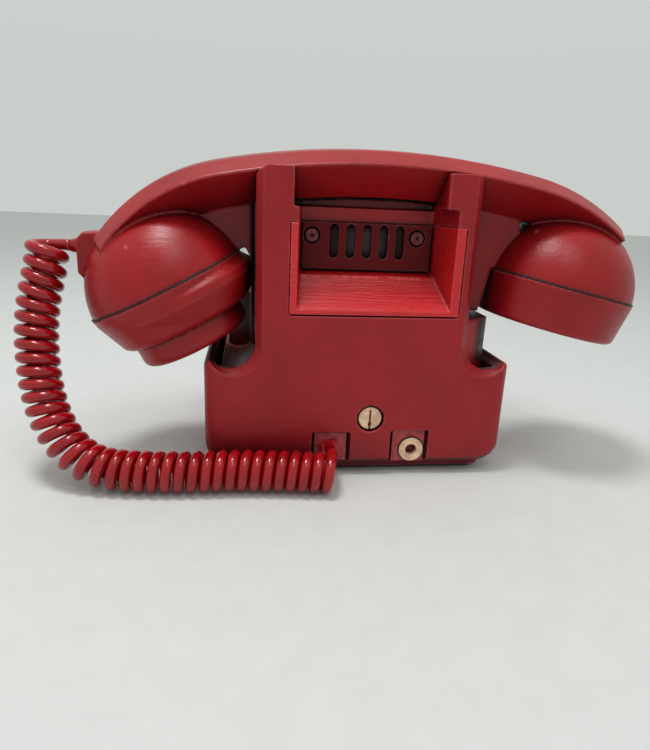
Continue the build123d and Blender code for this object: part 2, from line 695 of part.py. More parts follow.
def cup_dome(at, radius, height, mode=Mode.ADD):
    """A ball's cap standing on a cup's seam."""
    ball = (radius**2 + height**2) / (2 * height)
    plane = cup_plane(at)
    section = Plane(origin=plane.origin, x_dir=plane.x_dir, z_dir=-plane.y_dir)
    with BuildSketch(section, mode=Mode.PRIVATE) as outline:
        with BuildLine():
            ThreePointArc((radius, 0), (ball * sin(pi / 4), height - ball + ball * cos(pi / 4)), (0, height))
            Polyline((0, height), (0, 0), (radius, 0))
        make_face()
    revolve(outline.sketch, axis=Axis(plane.origin, plane.z_dir), mode=mode)


def sound_holes(at, depth, radius, rings):
    """Rings of holes square to a cup's seam, each ring given by its radius and number of holes."""
    for ring, count in rings:
        for step in range(count):
            turn = 2 * pi * step / count
            with BuildSketch(cup_plane(at).offset(-depth), mode=Mode.PRIVATE) as hole:
                with Locations((ring * cos(turn), ring * sin(turn))):
                    Circle(radius)
            extrude(hole.sketch, amount=14, mode=Mode.SUBTRACT)


dome_radius = cup_radius - 0.5
hollow_radius = dome_radius - wall
collar = hollow_radius - 1.3  # outer radius of the collars that plug the caps into the cups
collar_wall = 2.2
collar_height = 4.0
bulge = 3.0  # the transmitter's bowl swells this much more on the side of the case
transmitter_lean = radians(transmitter_at[2])
swollen_at = (
    transmitter_at[0] - bulge * cos(transmitter_lean),
    transmitter_at[1] + bulge * sin(transmitter_lean),
    transmitter_at[2],
)
swell_radius = cup_radius - 0.6


def make_handset_shell():
    """Handle, necks, domes and the lug that the cord leaves by, in one hollow moulding."""
    cups = (receiver_at, transmitter_at)
    neck_half = handle_section[0][0] - 0.4  # the necks are about as thick as the handle's lower face is wide
    neck_low, neck_high, neck_far = (63.0, 80.0), 103.0, 61.0
    with BuildPart() as handset_shell:
        add(swept_handle())
        for at in cups:
            cup_dome(at, dome_radius, dome_height)
        for side, low in zip((-1, 1), neck_low):
            near_x, far_x = sorted((side * neck_start, side * neck_far))
            box_between((near_x, handset_y - neck_half, low), (far_x, handset_y + neck_half, neck_high))
        with BuildSketch(Plane.XZ.offset(-lug_y[0])):
            Polygon(
                (lug_from, lug_z[0]),
                (cord_exit_x - 3, lug_z[0]),
                (cord_exit_x, lug_z[0] + 3),
                (cord_exit_x, lug_z[1] - 2.5),
                (cord_exit_x - 2.5, lug_z[1]),
                (lug_from, lug_z[1]),
                align=None,
            )
        extrude(amount=lug_y[0] - lug_y[1])
        for at in cups:
            cup_form(at, [(0, -40), (cup_radius + 0.3, -40), (cup_radius + 0.3, 0), (0, 0)], Mode.SUBTRACT)
            cup_dome(at, hollow_radius, dome_height - wall - 0.8, Mode.SUBTRACT)
        room = swell_radius + 0.3
        cup_form(swollen_at, [(0, -40), (room, -40), (room, 0), (0, 0)], Mode.SUBTRACT)
        hole_end = (cord_exit_x + 9, handset_y, cord_exit_z)
        rod_between((lug_from, handset_y, cord_exit_z), hole_end, sleeve_radius, Mode.SUBTRACT)
    keep("handset_shell", handset_shell.part)


def make_receiver():
    """The earpiece cap and the capsule behind it."""
    inner = collar - collar_wall
    rim = cup_radius - 2.4
    with BuildPart() as receiver_cap:
        cup_form(
            receiver_at,
            [
                (0, -15),
                (22, -15),
                (24, -16.6),
                (rim, -16.6),
                (cup_radius, 0),
                (collar, 0),
                (collar, collar_height),
                (inner, collar_height),
                (inner, -11.6),
                (0, -12.4),
            ],
            soft=[(3, 2.2)],
        )
        sound_holes(receiver_at, 20, 1.2, ((0.0, 1), (6.0, 6), (11.0, 10)))
    keep("receiver_cap", receiver_cap.part)
    with BuildPart() as receiver_capsule:
        cup_form(receiver_at, [(0, -11.5), (22, -11.5), (22, 4.0), (0, 4.0)])
        cup_form(receiver_at, [(0, 4.0), (12, 4.0), (12, 9.0), (0, 9.0)])
    keep("receiver_capsule", receiver_capsule.part)


def make_transmitter():
    """The bowl-shaped cap, the mouthpiece ring under it, and the capsule behind them."""
    inner = collar - collar_wall
    over = collar_height + 1
    with BuildPart() as transmitter_cap:
        cup_form(
            transmitter_at,
            [
                (0, -16),
                (24.5, -16),
                (cup_radius - 0.6, -3),
                (cup_radius, 0),
                (collar, 0),
                (collar, collar_height),
                (0, collar_height),
            ],
            soft=[(1, 4.0)],
        )
        cup_form(
            swollen_at,
            [(0, -15.9), (23.5, -15.9), (swell_radius, -7), (swell_radius, -4), (26.5, -0.3), (0, -0.3)],
            soft=[(1, 4.0)],
        )
        cup_form(
            transmitter_at,
            [(0, -17), (14, -17), (14, -13), (inner - 2, -10), (inner, over), (0, over)],
            Mode.SUBTRACT,
        )
    keep("transmitter_cap", transmitter_cap.part)
    with BuildPart() as mouthpiece:
        cup_form(
            transmitter_at,
            [
                (0, -22.4),
                (14, -22.4),
                (16, -24.5),
                (21.5, -24.5),
                (21.5, -16),
                (13.8, -16),
                (13.8, -12),
                (11.8, -12),
                (11.8, -19),
                (0, -19.6),
            ],
            soft=[(3, 3.2)],
        )
        sound_holes(transmitter_at, 30, 1.1, ((0.0, 1), (5.0, 6), (9.2, 12)))
    keep("mouthpiece", mouthpiece.part)
    with BuildPart() as transmitter_capsule:
        cup_form(transmitter_at, [(0, -9.0), (20, -9.0), (21, -4), (21, 4.0), (0, 4.0)])
    keep("transmitter_capsule", transmitter_capsule.part)


def make_sleeve():
    """The cord's sleeve in the handset's lug."""
    with BuildPart() as cord_sleeve:
        lug_face = (cord_exit_x, handset_y, cord_exit_z)
        rod_between((lug_from + 7, handset_y, cord_exit_z), lug_face, sleeve_radius)
        with BuildSketch(Plane(origin=lug_face, z_dir=(1, 0, 0))):
            Circle(sleeve_radius)
        extrude(amount=sleeve_tip, taper=14)
    keep("cord_sleeve", cord_sleeve.part)


# ---------------------------------------------------------------- curly cord
def bend_radii(points, radius):
    """The arc at each inner point of a cord's route: 0.45 of the shorter run over the half turn's tangent."""
    radii = []
    for before, here, after in zip(points, points[1:], points[2:]):
        first, second = Vector(*here) - Vector(*before), Vector(*after) - Vector(*here)
        turn = radians(first.get_angle(second))
        radii.append(0.45 * min(first.length, second.length) / tan(turn / 2))
    print("bend radii", [round(r, 1) for r in radii])
    return radii


def cord_tube(name, points, diameter):
    """A plain round cord along straight runs joined by arcs."""
    with BuildPart() as tube:
        with BuildLine():
            path = FilletPolyline(*points, radius=bend_radii(points, diameter / 2))
        with BuildSketch(Plane(origin=path @ 0, z_dir=path % 0)):
            Circle(diameter / 2)
        sweep()
    expected = path.length * pi * diameter**2 / 4
    print(name, "length", round(path.length, 1), "volume ratio", round(tube.part.volume / expected, 4))
    keep(name, tube.part)


def make_cord():
    """The curly cord's coil, and its short tails at the handset and at the case."""
    cord_tube("cord_coil", coil_route, coil_diameter)
    cord_tube("cord_tail_handset", handset_tail, cord_diameter)
    cord_tube("cord_tail_base", base_tail, cord_diameter)


make_body_shell()
make_recess()
make_base()
make_lock()
make_sockets()
make_dial()
make_switch()
make_ringer()
make_line_parts()
make_handset_shell()
make_receiver()
make_transmitter()
make_sleeve()
make_cord()

if __name__ == "__main__":
    os.makedirs("parts", exist_ok=True)
    for name, part in PARTS.items():
        export_step(part, f"parts/{name}.step")
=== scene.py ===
"""The compact cradle telephone, seen from behind: painted red mouldings, a curly cord and a rotary dial."""

import json
from math import atan2, cos, pi, radians, sin

import bmesh
import bpy
from mathutils import Matrix, Vector

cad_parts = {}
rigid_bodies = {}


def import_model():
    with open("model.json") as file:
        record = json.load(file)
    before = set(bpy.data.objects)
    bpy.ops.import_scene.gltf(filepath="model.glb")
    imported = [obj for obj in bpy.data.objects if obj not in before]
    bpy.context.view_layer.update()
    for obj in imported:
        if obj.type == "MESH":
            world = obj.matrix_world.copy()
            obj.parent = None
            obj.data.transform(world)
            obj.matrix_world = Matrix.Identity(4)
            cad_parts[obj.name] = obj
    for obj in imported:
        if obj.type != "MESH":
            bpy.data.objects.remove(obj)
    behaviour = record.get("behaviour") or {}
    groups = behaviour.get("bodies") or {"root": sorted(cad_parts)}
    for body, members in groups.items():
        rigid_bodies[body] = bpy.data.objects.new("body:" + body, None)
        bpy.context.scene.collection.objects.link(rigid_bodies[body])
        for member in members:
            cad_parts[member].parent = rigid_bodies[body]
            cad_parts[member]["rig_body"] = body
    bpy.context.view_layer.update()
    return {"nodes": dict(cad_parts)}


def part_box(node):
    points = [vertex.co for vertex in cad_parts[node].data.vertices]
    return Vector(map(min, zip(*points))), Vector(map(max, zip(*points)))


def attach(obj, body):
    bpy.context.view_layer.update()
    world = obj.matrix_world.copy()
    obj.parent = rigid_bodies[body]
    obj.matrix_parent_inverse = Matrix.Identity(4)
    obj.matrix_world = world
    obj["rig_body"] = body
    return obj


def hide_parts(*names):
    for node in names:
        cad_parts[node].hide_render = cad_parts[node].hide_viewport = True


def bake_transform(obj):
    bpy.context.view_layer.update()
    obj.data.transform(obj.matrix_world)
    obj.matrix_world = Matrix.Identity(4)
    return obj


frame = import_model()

MM = 0.001
NODES = frame["nodes"]


def mm(*point):
    """A point given in millimetres, in metres."""
    return Vector(point) * MM


# ---------------------------------------------------------------- camera
camera_at = mm(41.4, 253.9, 102.2)
camera_yaw, camera_pitch, camera_roll = radians(7.754), radians(16.755), radians(2.504)
focal_length = 27.77
sensor_width = 36.0


def make_camera():
    """The camera behind the telephone, turned, tipped and rolled by its three angles."""
    ahead = Vector((-sin(camera_yaw), -cos(camera_yaw), 0.0))
    forward = ahead * cos(camera_pitch) + Vector((0.0, 0.0, -sin(camera_pitch)))
    level = Vector((-cos(camera_yaw), sin(camera_yaw), 0.0))
    upright = level.cross(forward)
    right = level * cos(camera_roll) + upright * sin(camera_roll)
    up = upright * cos(camera_roll) - level * sin(camera_roll)
    data = bpy.data.cameras.new("camera")
    data.lens = focal_length
    data.sensor_width = sensor_width
    data.clip_start = 0.01
    camera = bpy.data.objects.new("camera", data)
    bpy.context.scene.collection.objects.link(camera)
    rows = [[right[i], up[i], -forward[i], camera_at[i]] for i in range(3)]
    camera.matrix_world = Matrix([*rows, [0, 0, 0, 1]])
    bpy.context.scene.camera = camera


# ---------------------------------------------------------------- mesh helpers
kept_share = 0.5  # of a moulding's triangles, after remeshing


def finished(mesh, material):
    """Gives a mesh one material and smooth faces."""
    mesh.materials.clear()
    mesh.materials.append(material)
    for face in mesh.polygons:
        face.use_smooth = True


def new_object(name, mesh, material):
    """Links a mesh into the scene as a smooth object with one material."""
    obj = bpy.data.objects.new(name, mesh)
    bpy.context.scene.collection.objects.link(obj)
    finished(mesh, material)
    return obj


def from_points(name, points, faces, material):
    """An object made of points and the faces between them."""
    mesh = bpy.data.meshes.new(name)
    mesh.from_pydata([tuple(p) for p in points], [], faces)
    mesh.validate()
    mesh.update()
    return new_object(name, mesh, material)


def applied(obj):
    """Replaces an object's mesh with its modified one, and drops the modifiers."""
    bpy.context.view_layer.update()
    shaped = obj.evaluated_get(bpy.context.evaluated_depsgraph_get())
    mesh = bpy.data.meshes.new_from_object(shaped)
    obj.modifiers.clear()
    old, obj.data = obj.data, mesh
    bpy.data.meshes.remove(old)


def moulded(name, node, voxel, rounds, material, body):
    """A piece in the shape of a CAD node, with every edge softened as on a painted casting."""
    obj = new_object(name, NODES[node].data.copy(), material)
    remesh = obj.modifiers.new("remesh", "REMESH")
    remesh.mode = "VOXEL"
    remesh.voxel_size = voxel * MM
    soften = obj.modifiers.new("soften", "SMOOTH")
    soften.factor = 0.5
    soften.iterations = rounds
    thin = obj.modifiers.new("thin", "DECIMATE")
    thin.ratio = kept_share
    applied(obj)
    finished(obj.data, material)
    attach(obj, body)
    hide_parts(node)


# ---------------------------------------------------------------- materials
STROKES_UPRIGHT = (22, 22, 330)
STROKES_ACROSS = (22, 330, 330)
# Painted shade in hollows, from ambient occlusion: its reach in metres, the openness where it is darkest
# and where it ends, and its shade.
AO_PAINTED_SHADE = ((0.004, 0.30, 0.85, 0.10), (0.030, 0.12, 0.80, 0.25))
# The near-black of a painted shadow.
SHADOW_BLACK = (0.012, 0.002, 0.003, 1.0)


def node_tree(name):
    """A new material with its shader, and a shortcut for adding linked nodes."""
    material = bpy.data.materials.new(name)
    material.use_nodes = True
    tree = material.node_tree
    shader = tree.nodes["Principled BSDF"]

    def add(kind, inputs=None, **settings):
        node = tree.nodes.new(kind)
        for key, value in settings.items():
            setattr(node, key, value)
        for key, value in (inputs or {}).items():
            if isinstance(value, bpy.types.NodeSocket):
                tree.links.new(value, node.inputs[key])
            else:
                node.inputs[key].default_value = value
        return node

    return material, shader, tree, add


def ramp(add, factor, stops):
    """A colour ramp through (place, colour) stops."""
    node = add("ShaderNodeValToRGB", {"Fac": factor})
    elements = node.color_ramp.elements
    while len(elements) < len(stops):
        elements.new(0.5)
    for element, (place, value) in zip(elements, stops):
        element.position = place
        element.color = (*value, 1.0)
    return node.outputs["Color"]


def mixed_colours(tree, add, blend, factor, first, second):
    """Two colours blended, where the factor and either colour may be a socket or a value."""
    node = add("ShaderNodeMix", data_type="RGBA", blend_type=blend)
    for key, value in (("Factor", factor), ("A", first), ("B", second)):
        if isinstance(value, bpy.types.NodeSocket):
            tree.links.new(value, node.inputs[key])
        else:
            node.inputs[key].default_value = value
    return node.outputs["Result"]


def painted_shadow_box(add, tree, place, colour, low, high, soft):
    """Painted shadow: the colour, turned nearly black inside a box with soft sides."""
    axes = add("ShaderNodeSeparateXYZ", {"Vector": place})
    inside = None
    for axis, start, end in zip("XYZ", low, high):
        value = axes.outputs[axis]
        if axis == "X":
            value = add("ShaderNodeMath", {0: value}, operation="ABSOLUTE").outputs["Value"]
        for edge, turn in ((start, 1), (end, -1)):
            limits = {"Value": value, "From Min": edge * MM, "From Max": (edge + turn * soft) * MM}
            share = add("ShaderNodeMapRange", limits, interpolation_type="SMOOTHSTEP").outputs["Result"]
            if inside is None:
                inside = share
            else:
                both = add("ShaderNodeMath", {0: inside, 1: share}, operation="MULTIPLY")
                inside = both.outputs["Value"]
    return mixed_colours(tree, add, "MIX", inside, colour, SHADOW_BLACK)


def painted_red(name, deep, bright, roughness, strokes=STROKES_UPRIGHT, marks=0.25, shadow_box=None, shine=0.38):
    """Hand-brushed satin paint: mottled colour, faint brush marks, painted shade in hollows and rubbed
    edges.

    A shadow box is a box, as lowest and highest corner and softness in millimetres, where the paint is
    blackened as painted shadow; its X is the distance from the middle.
    """
    material, shader, tree, add = node_tree(name)
    place = add("ShaderNodeTexCoord").outputs["Object"]
    clouds = add("ShaderNodeTexNoise", {"Vector": place, "Scale": 42.0, "Detail": 6.0, "Roughness": 0.62})
    specks = add("ShaderNodeTexNoise", {"Vector": place, "Scale": 420.0, "Detail": 3.0, "Roughness": 0.6})
    stretched = add("ShaderNodeMapping", {"Vector": place, "Scale": strokes})
    along = {"Vector": stretched.outputs["Vector"], "Scale": 3.0, "Detail": 6.0, "Roughness": 0.65}
    brush = add("ShaderNodeTexNoise", along)
    colour = ramp(add, clouds.outputs["Fac"], [(0.30, deep), (0.70, bright)])
    # Painted shade: the colour is darkened wherever ambient occlusion finds the surface closed in.
    for distance, low, high, dark in AO_PAINTED_SHADE:
        hollow = add("ShaderNodeAmbientOcclusion", {"Distance": distance}, samples=8)
        shaded_tint = (dark, dark * 0.7, dark * 0.8)
        shade = ramp(add, hollow.outputs["AO"], [(low, shaded_tint), (high, (1.0, 1.0, 1.0))])
        colour = mixed_colours(tree, add, "MULTIPLY", 1.0, colour, shade)
    # Painted shadow: the paint inside the shadow box is turned nearly black.
    if shadow_box:
        colour = painted_shadow_box(add, tree, place, colour, *shadow_box)
    edges = add("ShaderNodeNewGeometry").outputs["Pointiness"]
    rub = ramp(add, edges, [(0.508, (0.0, 0.0, 0.0)), (0.56, (0.55, 0.55, 0.55))])
    patchy = ramp(add, specks.outputs["Fac"], [(0.35, (0.3, 0.3, 0.3)), (0.62, (1.0, 1.0, 1.0))])
    amount = add("ShaderNodeMath", {0: rub, 1: patchy}, operation="MULTIPLY")
    rubbed = (min(1.0, bright[0] * 1.6), bright[1] + 0.10, bright[2] + 0.11, 1.0)
    worn = mixed_colours(tree, add, "MIX", amount.outputs["Value"], colour, rubbed)
    tree.links.new(worn, shader.inputs["Base Color"])
    ends = {"From Min": 0.3, "From Max": 0.7, "To Min": roughness - 0.08, "To Max": roughness + 0.12}
    sheen = add("ShaderNodeMapRange", {"Value": brush.outputs["Fac"], **ends})
    tree.links.new(sheen.outputs["Result"], shader.inputs["Roughness"])
    coarse = add("ShaderNodeBump", {"Height": brush.outputs["Fac"], "Strength": marks, "Distance": 0.0006})
    grain = {"Height": specks.outputs["Fac"], "Strength": 0.14, "Distance": 0.0003}
    fine = add("ShaderNodeBump", {**grain, "Normal": coarse.outputs["Normal"]})
    tree.links.new(fine.outputs["Normal"], shader.inputs["Normal"])
    shader.inputs["IOR"].default_value = 1.5
    shader.inputs["Specular IOR Level"].default_value = shine
    return material


def glossy_red(name):
    """The cord's plastic: bright red, smooth and wet-looking, with the faintest unevenness."""
    material, shader, tree, add = node_tree(name)
    place = add("ShaderNodeTexCoord").outputs["Object"]
    clouds = add("ShaderNodeTexNoise", {"Vector": place, "Scale": 120.0, "Detail": 3.0})
    paint = ramp(add, clouds.outputs["Fac"], [(0.3, (0.25, 0.001, 0.003)), (0.7, (0.36, 0.002, 0.006))])
    tree.links.new(paint, shader.inputs["Base Color"])
    gloss = add("ShaderNodeMapRange", {"Value": clouds.outputs["Fac"], "To Min": 0.12, "To Max": 0.22})
    tree.links.new(gloss.outputs["Result"], shader.inputs["Roughness"])
    waves = add("ShaderNodeTexNoise", {"Vector": place, "Scale": 500.0, "Detail": 2.0})
    bump = add("ShaderNodeBump", {"Height": waves.outputs["Fac"], "Strength": 0.12, "Distance": 0.0002})
    tree.links.new(bump.outputs["Normal"], shader.inputs["Normal"])
    shader.inputs["IOR"].default_value = 1.5
    shader.inputs["Specular IOR Level"].default_value = 0.45
    shader.inputs["Coat Weight"].default_value = 0.15
    shader.inputs["Coat Roughness"].default_value = 0.06
    return material


def worn_metal(name, dark, light, roughness, metallic):
    """Old brass or steel with dull patches and fine scratches."""
    material, shader, tree, add = node_tree(name)
    place = add("ShaderNodeTexCoord").outputs["Object"]
    clouds = add("ShaderNodeTexNoise", {"Vector": place, "Scale": 260.0, "Detail": 6.0, "Roughness": 0.7})
    paint = ramp(add, clouds.outputs["Fac"], [(0.34, dark), (0.62, light)])
    tree.links.new(paint, shader.inputs["Base Color"])
    ends = {"To Min": roughness - 0.12, "To Max": roughness + 0.18}
    gloss = add("ShaderNodeMapRange", {"Value": clouds.outputs["Fac"], **ends})
    tree.links.new(gloss.outputs["Result"], shader.inputs["Roughness"])
    bump = add("ShaderNodeBump", {"Height": clouds.outputs["Fac"], "Strength": 0.25, "Distance": 0.0003})
    tree.links.new(bump.outputs["Normal"], shader.inputs["Normal"])
    shader.inputs["Metallic"].default_value = metallic
    return material


def plain_plastic(name, dark, light, roughness):
    """Moulded plastic, rubber or enamel with a slightly uneven surface."""
    material, shader, tree, add = node_tree(name)
    place = add("ShaderNodeTexCoord").outputs["Object"]
    clouds = add("ShaderNodeTexNoise", {"Vector": place, "Scale": 90.0, "Detail": 5.0, "Roughness": 0.6})
    paint = ramp(add, clouds.outputs["Fac"], [(0.3, dark), (0.7, light)])
    tree.links.new(paint, shader.inputs["Base Color"])
    ends = {"To Min": roughness - 0.08, "To Max": roughness + 0.1}
    gloss = add("ShaderNodeMapRange", {"Value": clouds.outputs["Fac"], **ends})
    tree.links.new(gloss.outputs["Result"], shader.inputs["Roughness"])
    grain = add("ShaderNodeTexNoise", {"Vector": place, "Scale": 900.0, "Detail": 2.0})
    bump = add("ShaderNodeBump", {"Height": grain.outputs["Fac"], "Strength": 0.15, "Distance": 0.0002})
    tree.links.new(bump.outputs["Normal"], shader.inputs["Normal"])
    return material


# Painted shadow on the case beside its column, under the cups, where they shade it.
shoulder_shadow = ((39.0, 4.0, 42.0), (56.0, 47.5, 66.0), 4.0)  # the case beside its column, under the cups
BODY_RED = painted_red("body_red", (0.26, 0.003, 0.006), (0.35, 0.006, 0.011), 0.42, shadow_box=shoulder_shadow)
HANDSET_RED = painted_red(
    "handset_red", (0.24, 0.002, 0.004), (0.34, 0.004, 0.008), 0.34, STROKES_ACROSS, 0.20
)
RAMP_RED = painted_red(
    "ramp_red", (0.50, 0.006, 0.010), (0.64, 0.010, 0.014), 0.24, STROKES_ACROSS, 0.8, shine=0.5
)
# A darker copy of the body's red for the vent plate and its screws: painted shade, for the shade under the
# handset.
SHADED_VENT_RED = painted_red("shaded_vent_red", (0.085, 0.002, 0.003), (0.13, 0.003, 0.005), 0.55, shine=0.15)
CORD_RED = glossy_red("cord_red")
BRASS = worn_metal("brass", (0.56, 0.34, 0.21), (0.92, 0.63, 0.42), 0.5, 0.2)
DIAL_BRASS = worn_metal("dial_brass", (0.52, 0.36, 0.17), (0.66, 0.48, 0.25), 0.36, 0.9)
STEEL = worn_metal("steel", (0.30, 0.30, 0.31), (0.62, 0.62, 0.63), 0.38, 1.0)
# Near-black: the cups' seam gaskets, and painted shade on the dark boards, the jack's rim and the lock
# barrel.
SEAM_AND_SHADE_BLACK = plain_plastic("dark", (0.010, 0.003, 0.003), (0.022, 0.005, 0.005), 0.6)
# The jack's inside: a dark red as painted shade of its bore.
JACK_SHADE = plain_plastic("jack_shade", (0.05, 0.004, 0.005), (0.09, 0.006, 0.008), 0.5)
PAD = plain_plastic("pad", (0.018, 0.017, 0.016), (0.040, 0.038, 0.036), 0.85)
IVORY = plain_plastic("ivory", (0.62, 0.56, 0.43), (0.74, 0.68, 0.55), 0.3)
ENAMEL = plain_plastic("enamel", (0.74, 0.71, 0.62), (0.83, 0.80, 0.72), 0.3)
BLACK_PLASTIC = plain_plastic("black_plastic", (0.010, 0.010, 0.011), (0.026, 0.025, 0.026), 0.25)
PALE = plain_plastic("floor", (0.575, 0.585, 0.575), (0.605, 0.615, 0.605), 0.75)


# ---------------------------------------------------------------- curly cord
# The cord's route, in millimetres: out of the handset's lug, down beside the cup, along the table and
# back into the socket in the case.
lug_exit = (105.0, 32.0, 83.0)
coil_route = [
    (112.6, 33.4, 83.6),
    (113.2, 34.2, 78.0),
    (114.9, 35.8, 70.5),
    (116.5, 37.6, 62.5),
    (117.1, 40.2, 53.5),
    (116.6, 43.2, 43.5),
    (115.1, 46.5, 33.1),
    (112.0, 50.0, 23.8),
    (107.0, 53.5, 16.0),
    (100.4, 56.8, 10.6),
    (92.0, 59.3, 7.9),
    (80.0, 61.0, 7.55),
    (65.0, 61.9, 7.55),
    (48.0, 61.4, 7.55),
    (32.0, 62.4, 7.55),
    (16.0, 64.2, 7.55),
    (11.8, 64.6, 7.55),
]
lead_in = [lug_exit, (107.4, 31.2, 83.3)]
lead_out = [(11.0, 59.6, 12.9), (10.6, 56.6, 11.0), (10.6, 52.4, 10.5)]
wire = 4.0
coil_across = 15.0
coil_pitches = ((0.0, 5.2), (0.10, 4.8), (0.40, 4.4), (0.80, 4.4), (1.0, 4.25))  # share of the coil, mm
points_per_turn = 16
bend_reach = 8  # samples to each side, over which the route's bend is measured
turn_clearance = 1.03  # least distance between turns on the inside of a bend, in wires


def nurbs_points(points, resolution=24):
    """Closely spaced points along the smooth curve that has these control points, in metres."""
    curve = bpy.data.curves.new("route", "CURVE")
    curve.dimensions = "3D"
    curve.resolution_u = resolution
    spline = curve.splines.new("NURBS")
    spline.points.add(len(points) - 1)
    for place, point in zip(spline.points, points):
        place.co = (*point, 1.0)
    spline.order_u = 3
    spline.use_endpoint_u = True
    carrier = bpy.data.objects.new("route", curve)
    mesh = bpy.data.meshes.new_from_object(carrier)
    line = [v.co.copy() for v in mesh.vertices]
    bpy.data.objects.remove(carrier)
    bpy.data.meshes.remove(mesh)
    bpy.data.curves.remove(curve)
    return line


def between(stops, place):
    """The value at a place on a line of (place, value) stops."""
    for (low, first), (high, second) in zip(stops, stops[1:]):
        if place <= high:
            return first + (second - first) * (place - low) / (high - low)
    return stops[-1][1]


def helix_points(line, coil_radius, wire_size):
    """Turns wound round a line, left-handed: from its back at the start to its top at the end."""
    lengths = [0.0]
    for a, b in zip(line, line[1:]):
        lengths.append(lengths[-1] + (b - a).length)
    total = lengths[-1]
    side = Vector((0.0, -1.0, 0.0))
    frames = []
    for i, point in enumerate(line):
        along = (line[min(i + 1, len(line) - 1)] - line[max(i - 1, 0)]).normalized()
        side = (side - along * side.dot(along)).normalized()
        frames.append((point, along, side, along.cross(side)))
    places, place, index = [], 0.0, 0
    while place < total:
        while index < len(line) - 2 and lengths[index + 1] < place:
            index += 1
        low, high = max(index - bend_reach, 0), min(index + bend_reach, len(line) - 1)
        bend = (frames[high][1] - frames[low][1]).length / (lengths[high] - lengths[low])
        least_pitch = wire_size * turn_clearance / (1.0 - coil_radius * bend)
        pitch = max(between(coil_pitches, place / total) * MM, least_pitch)
        places.append((place, index))
        place += pitch / points_per_turn
    last = frames[-1]
    top = Vector((0.0, 0.0, 1.0))
    final_turn = atan2(-last[3].dot(top), last[2].dot(top))
    turns = 2 * pi * (len(places) - 1) / points_per_turn
    spare = (final_turn - turns) % (2 * pi)
    spare = spare - 2 * pi if spare > pi else spare
    points = []
    for i, (place, index) in enumerate(places):
        share = (place - lengths[index]) / (lengths[index + 1] - lengths[index])
        centre, _, across, over = (a.lerp(b, share) for a, b in zip(frames[index], frames[index + 1]))
        turn = (turns + spare) * i / (len(places) - 1)
        points.append(centre + (across * cos(turn) - over * sin(turn)) * coil_radius)
    return points


def tube_mesh(name, points, radius, material, sides=14):
    """A round tube along closely spaced points, closed at both ends."""
    vertices, faces = [], []
    side = None
    for i, point in enumerate(points):
        along = (points[min(i + 1, len(points) - 1)] - points[max(i - 1, 0)]).normalized()
        if side is None:
            side = along.orthogonal().normalized()
        side = (side - along * side.dot(along)).normalized()
        over = along.cross(side)
        for k in range(sides):
            turn = 2 * pi * k / sides
            vertices.append(point + (side * cos(turn) + over * sin(turn)) * radius)
    for i in range(len(points) - 1):
        for k in range(sides):
            a, b = i * sides + k, i * sides + (k + 1) % sides
            faces.append((a, b, b + sides, a + sides))
    faces.append(tuple(reversed(range(sides))))
    faces.append(tuple(range(len(vertices) - sides, len(vertices))))
    return from_points(name, vertices, faces, material)


def make_cord():
    """The whole cord in one tube: its lead from the lug, its turns and its lead into the socket."""
    route = nurbs_points([mm(*p) for p in coil_route])
    coil_radius = (coil_across - wire) / 2 * MM
    turns = helix_points(route, coil_radius / cos(pi / points_per_turn), wire * MM)
    starts, ends = ([mm(*p) for p in lead] for lead in (lead_in, lead_out))
    path = nurbs_points([*starts, *turns, *ends], 3)
    cord = tube_mesh("curly_cord", path, wire / 2 * MM, CORD_RED)
    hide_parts("cord_coil", "cord_tail_handset", "cord_tail_base")
    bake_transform(cord)


make_camera()
make_cord()


# ---------------------------------------------------------------- mouldings
def make_mouldings():
    """The painted castings: each with its voxel in millimetres and its rounds of smoothing."""
    moulded("case", "body_shell", 0.5, 5, BODY_RED, "base")
    moulded("recess_liner", "carry_recess", 0.4, 4, RAMP_RED, "base")
    moulded("plinth", "base_plate", 0.8, 3, BODY_RED, "base")
    moulded("slotted_plate", "vent_plate", 0.3, 3, SHADED_VENT_RED, "base")
    moulded("handset_body", "handset_shell", 0.5, 7, HANDSET_RED, "handset")
    moulded("earpiece_cap", "receiver_cap", 0.45, 4, HANDSET_RED, "handset")
    moulded("mouth_cap", "transmitter_cap", 0.45, 4, HANDSET_RED, "handset")
    moulded("mouth_ring", "mouthpiece", 0.4, 3, HANDSET_RED, "handset")


# ---------------------------------------------------------------- seams, seals, boards of painted shade and dial numbers
handset_y = 32.0
# Each cup's seam: its x, its z and its lean in degrees.
cups = {"receiver": (-81.0, 73.4, -12.5), "transmitter": (72.1, 70.1, 27.0)}
seam_radius = 29.85
gasket_radius = 0.22
gasket_rise = 0.25  # above the cup's edge, to the middle of the seam


def ring_points(centre, across, over, radius, count=96):
    """Points round a circle, in the plane of two directions."""
    turns = [2 * pi * i / count for i in range(count)]
    return [centre + (across * cos(turn) + over * sin(turn)) * radius for turn in turns]


def ring_mesh(name, points, radius, material, sides=8):
    """A closed round ring along points."""
    vertices, faces = [], []
    count = len(points)
    middle = sum(points, Vector()) / count
    for i, point in enumerate(points):
        outwards = (point - middle).normalized()
        along = (points[(i + 1) % count] - points[i - 1]).normalized()
        upwards = outwards.cross(along)
        for k in range(sides):
            turn = 2 * pi * k / sides
            vertices.append(point + (outwards * cos(turn) + upwards * sin(turn)) * radius)
    for i in range(count):
        for k in range(sides):
            a, b = i * sides + k, i * sides + (k + 1) % sides
            c, d = (i + 1) % count * sides + (k + 1) % sides, (i + 1) % count * sides + k
            faces.append((a, d, c, b))
    return from_points(name, vertices, faces, material)


